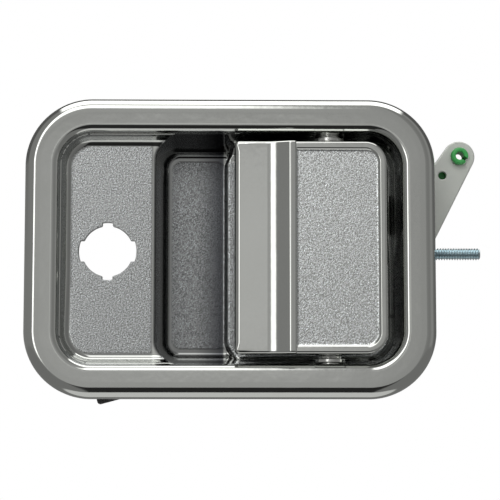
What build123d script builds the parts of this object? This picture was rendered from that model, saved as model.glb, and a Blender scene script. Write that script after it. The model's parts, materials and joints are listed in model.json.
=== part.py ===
from build123d import *
import math
import os

# Flush paddle door handle for a left-hand door.
# Frame: X to the right seen from outside, Y into the door, Z up. The origin is the centre of the
# bezel's outline on the outer face of the door skin. Lengths in millimetres, angles in degrees.

# Bezel and walls of the casting
BEZEL_WIDTH = 161.8
BEZEL_HEIGHT = 118.5
BEZEL_CORNER = 26.6
BEZEL_BAND = 13.7  # from the outline to the opening
BEZEL_RIM = 3.0  # the outer wall, which presses on the gasket
CROWN_Y = -9.0
CROWN_ROUND = 4.5
LIP_Y = -4.5
LIP_ROUND = 3.2
WALL = 2.5

# Gasket under the bezel, and the hooks that reach behind the skin at the left edge of the cut-out
GASKET_THICK = 1.2
GASKET_INSET = 1.0
GASKET_WIDTH = (6.0, 5.0)  # at the sides, and at the top and bottom
HOOK_END_X = -73.2
HOOK_WIDTH = 12.0
HOOK_Z = 22.0
HOOK_Y = 1.6
RIB_THICK = 2.0

# Left panel with the lock cylinder's hole
PANEL_Y = 0.0
PANEL_MARGIN = 2.9  # how far the sloping wall runs in from the opening
LOCK_HOLE = (-48.5, -0.8)
LOCK_R = 10.05
NOTCH_R = 11.4
SIDE_NOTCH = 8.2
TOP_NOTCH = 4.0
COLLAR_R = 12.4
COLLAR_LENGTH = 6.0

# Pocket
POCKET_LEFT = -30.4
POCKET_CORNER = 10.0
POCKET_DRAFT = 9.7
RAISED_FLOOR_Y = 11.0
DEEP_FLOOR_Y = 21.0
STEP_X = -1.7

# Paddle and its pivot
PADDLE_LEFT = 1.6
PADDLE_RIGHT = 61.2
PADDLE_Z = -0.3
PADDLE_HALF = 41.6
PADDLE_CORNER = 8.3
PADDLE_SQUARE_CORNER = 2.0
PADDLE_EDGE = 0.8
PADDLE_FACE_Y = -12.5
PADDLE_BACK_Y = -3.0
PADDLE_PLATE = 2.6
PADDLE_SKIRT = 2.3
RIDGE_Y = -15.0
RAMP_START = 16.2
CREST_START = 23.3
CREST_END = 25.6
RECESS_START = 26.0
RECESS_DEPTH = 0.9
RECESS_RIM = 2.7
PIVOT_X = 39.3
PIVOT_Y = 1.0
PIN_R = 2.38
RUNNING_FIT = 0.05
LUG_R = 5.5
LUG_WIDTH = 5.0
TAIL_Z = (10.0, 23.0)
TAIL_ROOT = (40.8, 6.0)
TAIL_TIP_Y = 18.5
TAIL_LEFT_X = 43.6
TAIL_RIGHT_X = 47.6
SLOT_MARGIN = 1.5  # round the tail, where it goes through the pocket's floor
SLOT_LEFT = 34.5
SLOT_RIGHT = 49.4
BUMPER_LIP = 3.8  # the part of the bumper that holds on to the slot's right edge
BUMPER_FLANGE = 1.7

# Flanged bushes: distances from the middle of the paddle
BUSH_R = 4.45
BUSH_FLANGE_R = 6.0
BUSH_BOSS_R = 7.2
BUSH_START = 41.9
BUSH_SEAT = 44.6
BUSH_END = 49.2
BUSH_FLANGE = 1.5
BUSH_RECESS_START = 38.0

# Pivot pin and retaining clips
PIN_HEAD = 1.5
PIN_HEAD_R = 4.2
PIN_TIP = 2.4  # how far it comes out of the lower bush
GROOVE = 0.6  # depth of the pin's groove
STUD_GROOVE = 0.7  # depth of the groove in the two shoulder rivets
CLIP_THICK = 0.8
CLIP_RING = 1.7  # radial width of an E-clip's ring
CLIP_SPACE = 0.9  # between its ring and the groove
CLIP_LUG_WIDTH = 1.8

# Release lever
LEVER_PIVOT = (60.6, -13.5)
LEVER_Y = 21.5
LEVER_THICK = 2.5
LEVER_HUB_R = 11.6
LEVER_END_R = 6.45
LEVER_PIVOT_R = 3.0
LEVER_BOSS_R = 6.2
LEVER_WASHER_R = 6.5
WASHER_THICK = 0.8
RIVET_TIP = 1.8  # how far a rivet's end goes past the front of its clip
ROD_CLIP = (94.0, 40.9)
ROD_CLIP_R = 2.9
CLIP_NOSE = 3.4  # how far the split bush comes out in front of the lever
CLIP_NOSE_R = 3.55
CLIP_NOSE_ROUND = 0.8
CLIP_SPLIT = 1.4
CLIP_SPLIT_ANGLE = -30
CLIP_ARM = 2.0
CLIP_ARM_WIDTH = 7.0
CLIP_ARM_HEAD_R = 4.1
CLIP_ARM_LENGTH = 15.0
ROD_R = 1.6
SMALL_HOLE = (87.1, 33.1)
SMALL_HOLE_R = 1.63
BLIND_HOLE = 1.4
FOLLOWER = (40.3, 19.0)
FOLLOWER_PIN_R = 1.5
FOLLOWER_SLEEVE_R = 3.0
FOLLOWER_END_R = 6.0
FOLLOWER_HEAD_R = 2.4
FOLLOWER_HEAD = 0.8
SLEEVE_LENGTH = 6.1

# Springs: coil radius, wire radius, pitch, number of turns and length of the legs
RETURN_SPRING_Z = -24.0
RETURN_COIL_R = 4.2
RETURN_WIRE_R = 0.75
RETURN_PITCH = 1.9
RETURN_TURNS = 6.5
RETURN_LEG = 9.2
LEVER_SPRING_Y = 14.6
LEVER_COIL_R = 7.6
LEVER_WIRE_R = 0.7
LEVER_SPRING_PITCH = 1.6
LEVER_SPRING_TURNS = 3.5
LEVER_SPRING_LEG = 10.0
SPRING_PEG = (62.7, 1.0)
SPRING_PEG_R = 1.2
SPRING_PEG_HEIGHT = 3.5

# Retaining stud, number 10-24
STUD = (9.0, -0.8)
STUD_R = 2.4
STUD_BOSS_R = 5.5
STUD_START = 66.0
STUD_BOSS_END = 71.0
STUD_END = 100.2
STUD_NUT_FLATS = 9.5
STUD_NUT = 3.2
STUD_WASHER = 1.2
STUD_WASHER_R = 4.2
WASHER_GAP = 0.6
UNDERCUT = 0.3

# Lock lever
LOCK_PIVOT = (-52.5, -33.0)
LOCK_TILT = 15.0  # its long arm leans this far from the vertical
LOCK_LEVER_Y = 7.0
LOCK_LEVER_THICK = 2.5
LOCK_ARM = 27.3
LOCK_ARM_WIDTH = 14.0
LOCK_FORK = 16.0
LOCK_FORK_WIDTH = 10.0
LOCK_FORK_SLOT = (4.0, 7.0)  # its width and its depth
LOCK_PIVOT_R = 2.5
LOCK_BOSS_R = 5.0
LOCK_WASHER_R = 5.5
LOCK_ROD_R = 1.6
LOCK_ROD_INSET = 6.0
LOCK_CORNER = 1.2

GAP = 0.3  # between pieces that move past each other
TIP_CHAMFER = 0.4
OVERLAP = 1.0  # how far the parts of one casting run into each other

opening_width = BEZEL_WIDTH - 2 * BEZEL_BAND
opening_height = BEZEL_HEIGHT - 2 * BEZEL_BAND
opening_corner = BEZEL_CORNER - BEZEL_BAND
bezel_back_y = -GASKET_THICK
channel_y = CROWN_Y + WALL
panel_back_y = PANEL_Y + WALL
raised_back_y = RAISED_FLOOR_Y + WALL
deep_back_y = DEEP_FLOOR_Y + WALL
lever_boss_y = LEVER_Y - GAP
lock_boss_y = LOCK_LEVER_Y - GAP


def across(y):
    """The sketch plane at depth y: sketch x is X and sketch y is Z. extrude(-t) goes inwards."""
    return Plane.XZ.offset(-y)


def inwards(y):
    """The plane at depth y that faces inwards, for drafted walls: sketch x is X, sketch y is -Z."""
    return Plane(origin=(0, y, 0), x_dir=(1, 0, 0), z_dir=(0, 1, 0))


def disc(centre, radius, start_y, end_y, mode=Mode.ADD):
    """A round boss or hole along Y in the part being built."""
    with BuildSketch(across(start_y)) as plan:
        with Locations(centre):
            Circle(radius)
    extrude(plan.sketch, amount=start_y - end_y, mode=mode)


def pivot_disc(radius, start_z, end_z, mode=Mode.ADD):
    """A round stretch along the paddle's pivot, between heights above the paddle's middle."""
    with BuildSketch(Plane.XY.offset(PADDLE_Z + start_z)) as plan:
        with Locations((PIVOT_X, PIVOT_Y)):
            Circle(radius)
    extrude(plan.sketch, amount=end_z - start_z, mode=mode)


def stud_disc(radius, start_x, end_x, mode=Mode.ADD):
    """A round stretch along the retaining stud's axis."""
    with BuildSketch(Plane.YZ.offset(start_x)) as plan:
        with Locations(STUD):
            Circle(radius)
    extrude(plan.sketch, amount=end_x - start_x, mode=mode)


def pocket_block(left, top, corner, end_x, start_y, end_y):
    """A drafted block with the plan of the pocket, for its hollow and for its outer shell."""
    with BuildSketch(inwards(start_y)) as plan:
        with Locations(((left + end_x) / 2, 0)):
            Rectangle(end_x - left, 2 * top)
        fillet(plan.vertices().group_by(Axis.X)[0], corner)
        fillet(plan.vertices().group_by(Axis.X)[-1], corner + opening_corner - POCKET_CORNER)
    extrude(plan.sketch, amount=end_y - start_y, taper=POCKET_DRAFT)


def washer(centre, bore_r, outer_r, start_y, end_y):
    """A plain ring along Y."""
    with BuildSketch(across(start_y)) as ring:
        with Locations(centre):
            Circle(outer_r)
            Circle(bore_r, mode=Mode.SUBTRACT)
    extrude(ring.sketch, amount=start_y - end_y)


def e_clip(plane, centre, groove_r, thick):
    """A retaining clip: a ring that is open on one side, with two small lugs inside its bore."""
    with BuildSketch(plane) as ring:
        with Locations(centre):
            Circle(groove_r + CLIP_SPACE + CLIP_RING)
            Circle(groove_r + CLIP_SPACE, mode=Mode.SUBTRACT)
        for angle in (0, 120, 240):
            with Locations(Pos(*centre) * Rot(0, 0, angle) * Pos(0, groove_r)):
                Rectangle(CLIP_LUG_WIDTH, 2 * CLIP_SPACE, align=(Align.CENTER, Align.MIN))
        with Locations(Pos(*centre) * Pos(0, -groove_r)):
            opening = (2 * groove_r, CLIP_SPACE + 2 * CLIP_RING)
            Rectangle(*opening, align=(Align.CENTER, Align.MAX), mode=Mode.SUBTRACT)
    extrude(ring.sketch, amount=thick)


def rivet(centre, radius, start_y, groove_y):
    """A shoulder rivet along Y with a groove for its clip and a chamfered end."""
    disc(centre, radius, start_y, groove_y + RIVET_TIP)
    chamfer(edges().group_by(Axis.Y)[-1], TIP_CHAMFER)
    with BuildSketch(across(groove_y)) as ring:
        with Locations(centre):
            Circle(2 * radius)
            Circle(radius - STUD_GROOVE, mode=Mode.SUBTRACT)
    extrude(ring.sketch, amount=-CLIP_THICK, mode=Mode.SUBTRACT)


# ---------------------------------------------------------------- housing

with BuildPart() as pocket_hollow:
    pocket_block(
        POCKET_LEFT, opening_height / 2, POCKET_CORNER, opening_width / 2, LIP_Y, DEEP_FLOOR_Y
    )
    with BuildSketch(across(RAISED_FLOOR_Y)):
        with Locations((STEP_X, 0)):
            Rectangle(BEZEL_WIDTH, BEZEL_HEIGHT, align=(Align.MIN, Align.CENTER))
    extrude(amount=RAISED_FLOOR_Y - DEEP_FLOOR_Y, mode=Mode.SUBTRACT)

with BuildPart() as pocket_shell:
    pocket_block(
        POCKET_LEFT - WALL,
        opening_height / 2 + WALL,
        POCKET_CORNER + WALL,
        opening_width / 2 + WALL,
        LIP_Y,
        deep_back_y,
    )
    with BuildSketch(across(raised_back_y)):
        with Locations((STEP_X + WALL, 0)):
            Rectangle(BEZEL_WIDTH, BEZEL_HEIGHT, align=(Align.MIN, Align.CENTER))
    extrude(amount=raised_back_y - deep_back_y, mode=Mode.SUBTRACT)

recess_end = POCKET_LEFT + POCKET_CORNER
with BuildPart() as panel_hollow:
    with BuildSketch(inwards(LIP_Y)):
        with Locations(((recess_end - opening_width / 2) / 2, 0)):
            Rectangle(recess_end + opening_width / 2, opening_height)
        fillet(vertices().group_by(Axis.X)[0], opening_corner)
    extrude(
        amount=PANEL_Y - LIP_Y,
        taper=math.degrees(math.atan(PANEL_MARGIN / (PANEL_Y - LIP_Y))),
    )

with BuildPart() as housing:
    with BuildSketch(across(CROWN_Y)):
        RectangleRounded(BEZEL_WIDTH, BEZEL_HEIGHT, BEZEL_CORNER)
    extrude(amount=CROWN_Y - bezel_back_y)
    fillet(edges().group_by(Axis.Y)[0], CROWN_ROUND)
    with BuildSketch(across(channel_y)):
        RectangleRounded(
            BEZEL_WIDTH - 2 * BEZEL_RIM, BEZEL_HEIGHT - 2 * BEZEL_RIM, BEZEL_CORNER - BEZEL_RIM
        )
    extrude(amount=channel_y - bezel_back_y, mode=Mode.SUBTRACT)
    with BuildSketch(across(channel_y - OVERLAP)):
        RectangleRounded(
            opening_width + 2 * WALL, opening_height + 2 * WALL, opening_corner + WALL
        )
    extrude(amount=channel_y - OVERLAP - panel_back_y)
    add(pocket_shell.part)

    # Bosses on the back: lock collar, lock lever, release lever, retaining stud and bushes
    disc(LOCK_HOLE, COLLAR_R + WALL, PANEL_Y, panel_back_y + COLLAR_LENGTH)
    disc(LOCK_PIVOT, LOCK_BOSS_R, PANEL_Y, lock_boss_y)
    disc(LEVER_PIVOT, LEVER_BOSS_R, RAISED_FLOOR_Y, lever_boss_y)
    disc(SPRING_PEG, SPRING_PEG_R, RAISED_FLOOR_Y, raised_back_y + SPRING_PEG_HEIGHT)
    stud_disc(STUD_BOSS_R, STUD_START - WALL, STUD_BOSS_END)
    for side in (1, -1):
        pivot_disc(BUSH_BOSS_R, side * (BUSH_SEAT - OVERLAP), side * BUSH_END)

    # Hooks at the left edge of the cut-out, and ribs on the panel
    for side in (1, -1):
        with BuildSketch(across(HOOK_Y)):
            with Locations((HOOK_END_X, side * HOOK_Z)):
                hook_length = WALL - opening_width / 2 - HOOK_END_X
                Rectangle(hook_length, HOOK_WIDTH, align=(Align.MIN, Align.CENTER))
        extrude(amount=-WALL)
        with BuildSketch(across(panel_back_y)):
            with Locations((-opening_width / 2, side * HOOK_Z)):
                rib_length = POCKET_LEFT + opening_width / 2
                Rectangle(rib_length, RIB_THICK, align=(Align.MIN, Align.CENTER))
        extrude(amount=-WALL)

    # Hollows
    with BuildSketch(across(CROWN_Y)):
        RectangleRounded(opening_width, opening_height, opening_corner)
    extrude(amount=CROWN_Y - LIP_Y, mode=Mode.SUBTRACT)
    crown_face = faces().filter_by(Axis.Y).sort_by(Axis.Y)[0]
    fillet(crown_face.inner_wires()[0].edges(), LIP_ROUND)
    add(panel_hollow.part, mode=Mode.SUBTRACT)
    add(pocket_hollow.part, mode=Mode.SUBTRACT)
    with BuildSketch(across(PANEL_Y)):
        with Locations(LOCK_HOLE):
            Rectangle(2 * NOTCH_R, SIDE_NOTCH)
            Rectangle(TOP_NOTCH, 2 * NOTCH_R)
            Circle(NOTCH_R, mode=Mode.INTERSECT)
            Circle(LOCK_R)
    extrude(amount=PANEL_Y - panel_back_y, mode=Mode.SUBTRACT)
    disc(LOCK_HOLE, COLLAR_R, panel_back_y, panel_back_y + COLLAR_LENGTH, Mode.SUBTRACT)
    disc(LOCK_PIVOT, LOCK_PIVOT_R, PANEL_Y + OVERLAP, lock_boss_y, Mode.SUBTRACT)
    disc(LEVER_PIVOT, LEVER_PIVOT_R, RAISED_FLOOR_Y + OVERLAP, lever_boss_y, Mode.SUBTRACT)
    stud_disc(STUD_R, STUD_START, STUD_BOSS_END, Mode.SUBTRACT)
    for side in (1, -1):
        seat = side * BUSH_SEAT
        pivot_disc(BUSH_FLANGE_R + GAP, side * BUSH_RECESS_START, seat, Mode.SUBTRACT)
        pivot_disc(BUSH_R, seat, side * BUSH_END, Mode.SUBTRACT)

    # Slot for the paddle's tail, with room for the bumper at its right end
    slot_bottom = TAIL_Z[0] - SLOT_MARGIN
    slot_top = TAIL_Z[1] + SLOT_MARGIN
    with BuildSketch(across(RAISED_FLOOR_Y)):
        with Locations((SLOT_LEFT, slot_bottom)):
            Rectangle(SLOT_RIGHT - SLOT_LEFT, slot_top - slot_bottom, align=(Align.MIN, Align.MIN))
    extrude(amount=-WALL, mode=Mode.SUBTRACT)

with BuildPart() as gasket:
    with BuildSketch(across(bezel_back_y)):
        outer = (BEZEL_WIDTH - 2 * GASKET_INSET, BEZEL_HEIGHT - 2 * GASKET_INSET)
        inner = (outer[0] - 2 * GASKET_WIDTH[0], outer[1] - 2 * GASKET_WIDTH[1])
        outer_corner = BEZEL_CORNER - GASKET_INSET
        RectangleRounded(*outer, outer_corner)
        RectangleRounded(*inner, outer_corner - GASKET_WIDTH[0], mode=Mode.SUBTRACT)
    extrude(amount=-GASKET_THICK)

# ---------------------------------------------------------------- paddle

paddle_width = PADDLE_RIGHT - PADDLE_LEFT
paddle_mid = (PADDLE_RIGHT + PADDLE_LEFT) / 2
plate_back_y = PADDLE_FACE_Y + PADDLE_PLATE


def paddle_outline(inset):
    """The paddle seen from the front, drawn in by inset: nearly square at the grip, round at the right."""
    with Locations((paddle_mid, PADDLE_Z)):
        Rectangle(paddle_width - 2 * inset, 2 * (PADDLE_HALF - inset))
    fillet(vertices().group_by(Axis.X)[0], PADDLE_SQUARE_CORNER - inset / 2)
    fillet(vertices().group_by(Axis.X)[-1], PADDLE_CORNER - inset)


with BuildPart() as paddle:
    with BuildSketch(across(PADDLE_FACE_Y)):
        paddle_outline(0)
    extrude(amount=PADDLE_FACE_Y - PADDLE_BACK_Y)
    fillet(edges().group_by(Axis.Y)[0], PADDLE_EDGE)
    with BuildSketch(across(plate_back_y)):
        paddle_outline(PADDLE_SKIRT)
    extrude(amount=plate_back_y - PADDLE_BACK_Y, mode=Mode.SUBTRACT)

    # Ridge across the grip: a ramp that rises to a narrow crest and drops to the panel
    with BuildSketch(Plane.XY.offset(PADDLE_Z - PADDLE_HALF)):
        Polygon(
            [
                (RAMP_START, PADDLE_FACE_Y + OVERLAP),
                (RAMP_START, PADDLE_FACE_Y),
                (CREST_START, RIDGE_Y),
                (CREST_END, RIDGE_Y),
                (CREST_END, PADDLE_FACE_Y + OVERLAP),
            ],
            align=None,
        )
    extrude(amount=2 * PADDLE_HALF)

    # Sunk panel for the grained finish
    panel_right = PADDLE_RIGHT - RECESS_RIM
    with BuildSketch(across(PADDLE_FACE_Y)):
        with Locations(((RECESS_START + panel_right) / 2, PADDLE_Z)):
            Rectangle(panel_right - RECESS_START, 2 * (PADDLE_HALF - RECESS_RIM))
        fillet(vertices().group_by(Axis.X)[-1], PADDLE_CORNER - RECESS_RIM)
    extrude(amount=-RECESS_DEPTH, mode=Mode.SUBTRACT)

    # Lugs on the pin at both ends, and the tail that works the release lever
    lug_starts = (PADDLE_HALF - LUG_WIDTH, -PADDLE_HALF)
    for lug_z in lug_starts:
        with BuildSketch(Plane.XY.offset(PADDLE_Z + lug_z)):
            with Locations((PIVOT_X, PIVOT_Y)):
                Circle(LUG_R)
                Rectangle(2 * LUG_R, PIVOT_Y - plate_back_y, align=(Align.CENTER, Align.MAX))
        extrude(amount=LUG_WIDTH)
    with BuildSketch(Plane.XY.offset(TAIL_Z[0])):
        with Locations((PIVOT_X, PIVOT_Y)):
            Circle(LUG_R)
            Rectangle(2 * LUG_R, PIVOT_Y - plate_back_y, align=(Align.CENTER, Align.MAX))
        Polygon(
            [
                TAIL_ROOT,
                (TAIL_LEFT_X, raised_back_y + OVERLAP),
                (TAIL_LEFT_X, TAIL_TIP_Y),
                (TAIL_RIGHT_X, TAIL_TIP_Y),
                (PIVOT_X + LUG_R, PIVOT_Y),
            ],
            align=None,
        )
    extrude(amount=TAIL_Z[1] - TAIL_Z[0])
    pivot_disc(PIN_R + RUNNING_FIT, -PADDLE_HALF, PADDLE_HALF, Mode.SUBTRACT)


def pivot_bush(side):
    """A flanged bush in the pocket's wall: side is 1 for the upper and -1 for the lower one."""
    pivot_disc(BUSH_R, side * BUSH_START, side * BUSH_END)
    pivot_disc(BUSH_FLANGE_R, side * (BUSH_SEAT - BUSH_FLANGE), side * BUSH_SEAT)
    pivot_disc(PIN_R, side * BUSH_START, side * BUSH_END, Mode.SUBTRACT)


with BuildPart() as upper_pivot_bush:
    pivot_bush(1)

with BuildPart() as lower_pivot_bush:
    pivot_bush(-1)

clip_bottom = -(BUSH_END + GAP + CLIP_THICK)
with BuildPart() as pivot_pin:
    pivot_disc(PIN_R, -(BUSH_END + PIN_TIP), BUSH_END)
    chamfer(edges().group_by(Axis.Z)[0], TIP_CHAMFER)
    pivot_disc(PIN_HEAD_R, BUSH_END, BUSH_END + PIN_HEAD)
    fillet(edges().group_by(Axis.Z)[-1], PIN_HEAD / 2)
    with BuildSketch(Plane.XY.offset(PADDLE_Z + clip_bottom)):
        with Locations((PIVOT_X, PIVOT_Y)):
            Circle(2 * PIN_R)
            Circle(PIN_R - GROOVE, mode=Mode.SUBTRACT)
    extrude(amount=CLIP_THICK, mode=Mode.SUBTRACT)

with BuildPart() as pivot_pin_clip:
    e_clip(
        Plane.XY.offset(PADDLE_Z + clip_bottom), (PIVOT_X, PIVOT_Y), PIN_R - GROOVE, CLIP_THICK
    )

with BuildPart() as stop_bumper:
    bumper_width = SLOT_RIGHT - TAIL_RIGHT_X + BUMPER_LIP
    with BuildSketch(Plane.XY.offset(slot_bottom)):
        with Locations((TAIL_RIGHT_X, RAISED_FLOOR_Y - BUMPER_FLANGE)):
            bumper_depth = WALL + 2 * BUMPER_FLANGE
            Rectangle(bumper_width, bumper_depth, align=(Align.MIN, Align.MIN))
        with Locations((SLOT_RIGHT, RAISED_FLOOR_Y)):
            Rectangle(bumper_width, WALL, align=(Align.MIN, Align.MIN), mode=Mode.SUBTRACT)
    extrude(amount=slot_top - slot_bottom)

# ---------------------------------------------------------------- springs


def wire_spring(centre, axis, coil_r, wire_r, pitch, turns, legs):
    """A torsion spring: a helix along axis from centre, with a straight leg from each of its ends."""
    with BuildLine() as coil:
        Helix(pitch, pitch * turns, coil_r, center=centre, direction=axis)
    start, end = coil.line @ 0, coil.line @ 1
    with BuildSketch(Plane(origin=start, z_dir=coil.line % 0)) as section:
        Circle(wire_r)
    sweep(section.sketch, path=coil.line, is_frenet=True)
    for point, (direction, length) in zip((start, end), legs):
        with BuildSketch(Plane(origin=point, z_dir=direction)) as leg:
            Circle(wire_r)
        extrude(leg.sketch, amount=length)


with BuildPart() as return_spring:
    wire_spring(
        (PIVOT_X, PIVOT_Y, RETURN_SPRING_Z),
        (0, 0, 1),
        RETURN_COIL_R,
        RETURN_WIRE_R,
        RETURN_PITCH,
        RETURN_TURNS,
        (((0, 1, 0), RETURN_LEG), ((0, -1, 0), RETURN_LEG)),
    )

with BuildPart() as lever_spring:
    wire_spring(
        (LEVER_PIVOT[0], LEVER_SPRING_Y, LEVER_PIVOT[1]),
        (0, 1, 0),
        LEVER_COIL_R,
        LEVER_WIRE_R,
        LEVER_SPRING_PITCH,
        LEVER_SPRING_TURNS,
        (((0, 0, 1), LEVER_SPRING_LEG), ((0, 0, -1), LEVER_SPRING_LEG / 2)),
    )

# ---------------------------------------------------------------- release lever


def lever_arm(start, start_r, end, end_r):
    """A tapered arm in the lever's sketch: the hull of two circles."""
    with Locations(start):
        Circle(start_r)
    with Locations(end):
        Circle(end_r)
    run = Vector(*end) - Vector(*start)
    lean = math.degrees(math.asin((start_r - end_r) / run.length))
    heading = math.degrees(math.atan2(run.Y, run.X))
    corners = []
    for side, centre, radius in (
        (1, start, start_r),
        (1, end, end_r),
        (-1, end, end_r),
        (-1, start, start_r),
    ):
        angle = math.radians(heading + side * (90 - lean))
        corners.append((centre[0] + radius * math.cos(angle), centre[1] + radius * math.sin(angle)))
    Polygon(corners, align=None)


lever_back_y = LEVER_Y + LEVER_THICK
with BuildPart() as release_lever:
    with BuildSketch(across(LEVER_Y)):
        lever_arm(LEVER_PIVOT, LEVER_HUB_R, ROD_CLIP, LEVER_END_R)
        lever_arm(LEVER_PIVOT, LEVER_HUB_R, FOLLOWER, FOLLOWER_END_R)
        with Locations(LEVER_PIVOT):
            Circle(LEVER_PIVOT_R + RUNNING_FIT, mode=Mode.SUBTRACT)
        with Locations(ROD_CLIP):
            Circle(ROD_CLIP_R, mode=Mode.SUBTRACT)
        with Locations(SMALL_HOLE):
            Circle(SMALL_HOLE_R, mode=Mode.SUBTRACT)
        with Locations(FOLLOWER):
            Circle(FOLLOWER_PIN_R, mode=Mode.SUBTRACT)
    extrude(amount=-LEVER_THICK)

nose_y = LEVER_Y - CLIP_NOSE
clip_back_y = lever_back_y + CLIP_ARM
arm_heading = math.degrees(math.atan2(SMALL_HOLE[1] - ROD_CLIP[1], SMALL_HOLE[0] - ROD_CLIP[0]))
with BuildPart() as rod_clip:
    disc(ROD_CLIP, CLIP_NOSE_R, nose_y, LEVER_Y)
    fillet(edges().group_by(Axis.Y)[0], CLIP_NOSE_ROUND)
    disc(ROD_CLIP, ROD_CLIP_R, LEVER_Y, lever_back_y)
    with BuildSketch(across(lever_back_y)):
        with Locations(ROD_CLIP):
            Circle(CLIP_ARM_HEAD_R)
        with Locations(Pos(*ROD_CLIP) * Rot(0, 0, arm_heading)):
            Rectangle(CLIP_ARM_LENGTH, CLIP_ARM_WIDTH, align=(Align.MIN, Align.CENTER))
    extrude(amount=-CLIP_ARM)
    disc(ROD_CLIP, ROD_R, nose_y, clip_back_y, Mode.SUBTRACT)
    disc(SMALL_HOLE, SMALL_HOLE_R, lever_back_y, lever_back_y + BLIND_HOLE, Mode.SUBTRACT)
    # The split that lets the bush snap through the lever's hole
    with BuildSketch(across(nose_y)):
        with Locations(Pos(*ROD_CLIP) * Rot(0, 0, CLIP_SPLIT_ANGLE)):
            Rectangle(2 * CLIP_NOSE_R, CLIP_SPLIT, align=(Align.MIN, Align.CENTER))
    extrude(amount=nose_y - lever_back_y, mode=Mode.SUBTRACT)

sleeve_front_y = LEVER_Y - SLEEVE_LENGTH
with BuildPart() as follower_pin:
    disc(FOLLOWER, FOLLOWER_PIN_R, sleeve_front_y, lever_back_y)
    disc(FOLLOWER, FOLLOWER_HEAD_R, sleeve_front_y - FOLLOWER_HEAD, sleeve_front_y)
    fillet(edges().group_by(Axis.Y)[0], FOLLOWER_HEAD / 2)

with BuildPart() as follower_sleeve:
    washer(FOLLOWER, FOLLOWER_PIN_R, FOLLOWER_SLEEVE_R, sleeve_front_y, LEVER_Y)

washer_y = lever_back_y + GAP
lever_clip_y = washer_y + WASHER_THICK
with BuildPart() as lever_pivot:
    rivet(LEVER_PIVOT, LEVER_PIVOT_R, RAISED_FLOOR_Y + OVERLAP, lever_clip_y)

with BuildPart() as lever_washer:
    washer(LEVER_PIVOT, LEVER_PIVOT_R + RUNNING_FIT, LEVER_WASHER_R, washer_y, lever_clip_y)

with BuildPart() as lever_pivot_clip:
    e_clip(
        across(lever_clip_y + CLIP_THICK), LEVER_PIVOT, LEVER_PIVOT_R - STUD_GROOVE, CLIP_THICK
    )

# ---------------------------------------------------------------- retaining stud

nut_start = STUD_BOSS_END + STUD_WASHER
nut_end = nut_start + STUD_NUT
with BuildPart() as retaining_stud:
    stud_disc(STUD_R, STUD_START, STUD_END)
    chamfer(edges().group_by(Axis.X)[-1], 2 * UNDERCUT)
    with BuildSketch(Plane.YZ.offset(nut_end)):
        with Locations(STUD):
            Circle(2 * STUD_R)
            Circle(STUD_R - UNDERCUT, mode=Mode.SUBTRACT)
    extrude(amount=2 * UNDERCUT, mode=Mode.SUBTRACT)

with BuildPart() as stud_lock_washer:
    with BuildSketch(Plane.YZ.offset(STUD_BOSS_END)):
        with Locations(STUD):
            Circle(STUD_WASHER_R)
            Circle(STUD_R + RUNNING_FIT, mode=Mode.SUBTRACT)
            Rectangle(2 * STUD_WASHER_R, WASHER_GAP, align=(Align.MIN, Align.CENTER), mode=Mode.SUBTRACT)
    extrude(amount=STUD_WASHER)

with BuildPart() as stud_jam_nut:
    with BuildSketch(Plane.YZ.offset(nut_start)):
        with Locations(STUD):
            RegularPolygon(STUD_NUT_FLATS / 2, 6, major_radius=False)
            Circle(STUD_R, mode=Mode.SUBTRACT)
    extrude(amount=STUD_NUT)

# ---------------------------------------------------------------- lock lever

lock_axis = Pos(*LOCK_PIVOT) * Rot(0, 0, LOCK_TILT)
with BuildPart() as lock_lever:
    with BuildSketch(across(LOCK_LEVER_Y)):
        with Locations(lock_axis):
            Rectangle(LOCK_ARM_WIDTH, LOCK_ARM, align=(Align.CENTER, Align.MAX))
        fillet(vertices().group_by(Axis.Y)[0], LOCK_CORNER)
        with Locations(LOCK_PIVOT):
            Circle(LOCK_ARM_WIDTH / 2)
        with Locations(lock_axis):
            Rectangle(LOCK_FORK_WIDTH, LOCK_FORK, align=(Align.CENTER, Align.MIN))
        with Locations(lock_axis * Pos(0, LOCK_FORK)):
            slot_width, slot_depth = LOCK_FORK_SLOT
            Rectangle(slot_width, 2 * slot_depth, mode=Mode.SUBTRACT)
        with Locations(LOCK_PIVOT):
            Circle(LOCK_PIVOT_R + RUNNING_FIT, mode=Mode.SUBTRACT)
        with Locations(lock_axis * Pos(0, LOCK_ROD_INSET - LOCK_ARM)):
            Circle(LOCK_ROD_R, mode=Mode.SUBTRACT)
    extrude(amount=-LOCK_LEVER_THICK)

lock_washer_y = LOCK_LEVER_Y + LOCK_LEVER_THICK + GAP
lock_clip_y = lock_washer_y + WASHER_THICK
with BuildPart() as lock_lever_pivot:
    rivet(LOCK_PIVOT, LOCK_PIVOT_R, PANEL_Y + OVERLAP, lock_clip_y)

with BuildPart() as lock_lever_washer:
    washer(LOCK_PIVOT, LOCK_PIVOT_R + RUNNING_FIT, LOCK_WASHER_R, lock_washer_y, lock_clip_y)

with BuildPart() as lock_lever_clip:
    e_clip(
        across(lock_clip_y + CLIP_THICK), LOCK_PIVOT, LOCK_PIVOT_R - STUD_GROOVE, CLIP_THICK
    )

# ---------------------------------------------------------------- output

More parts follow.
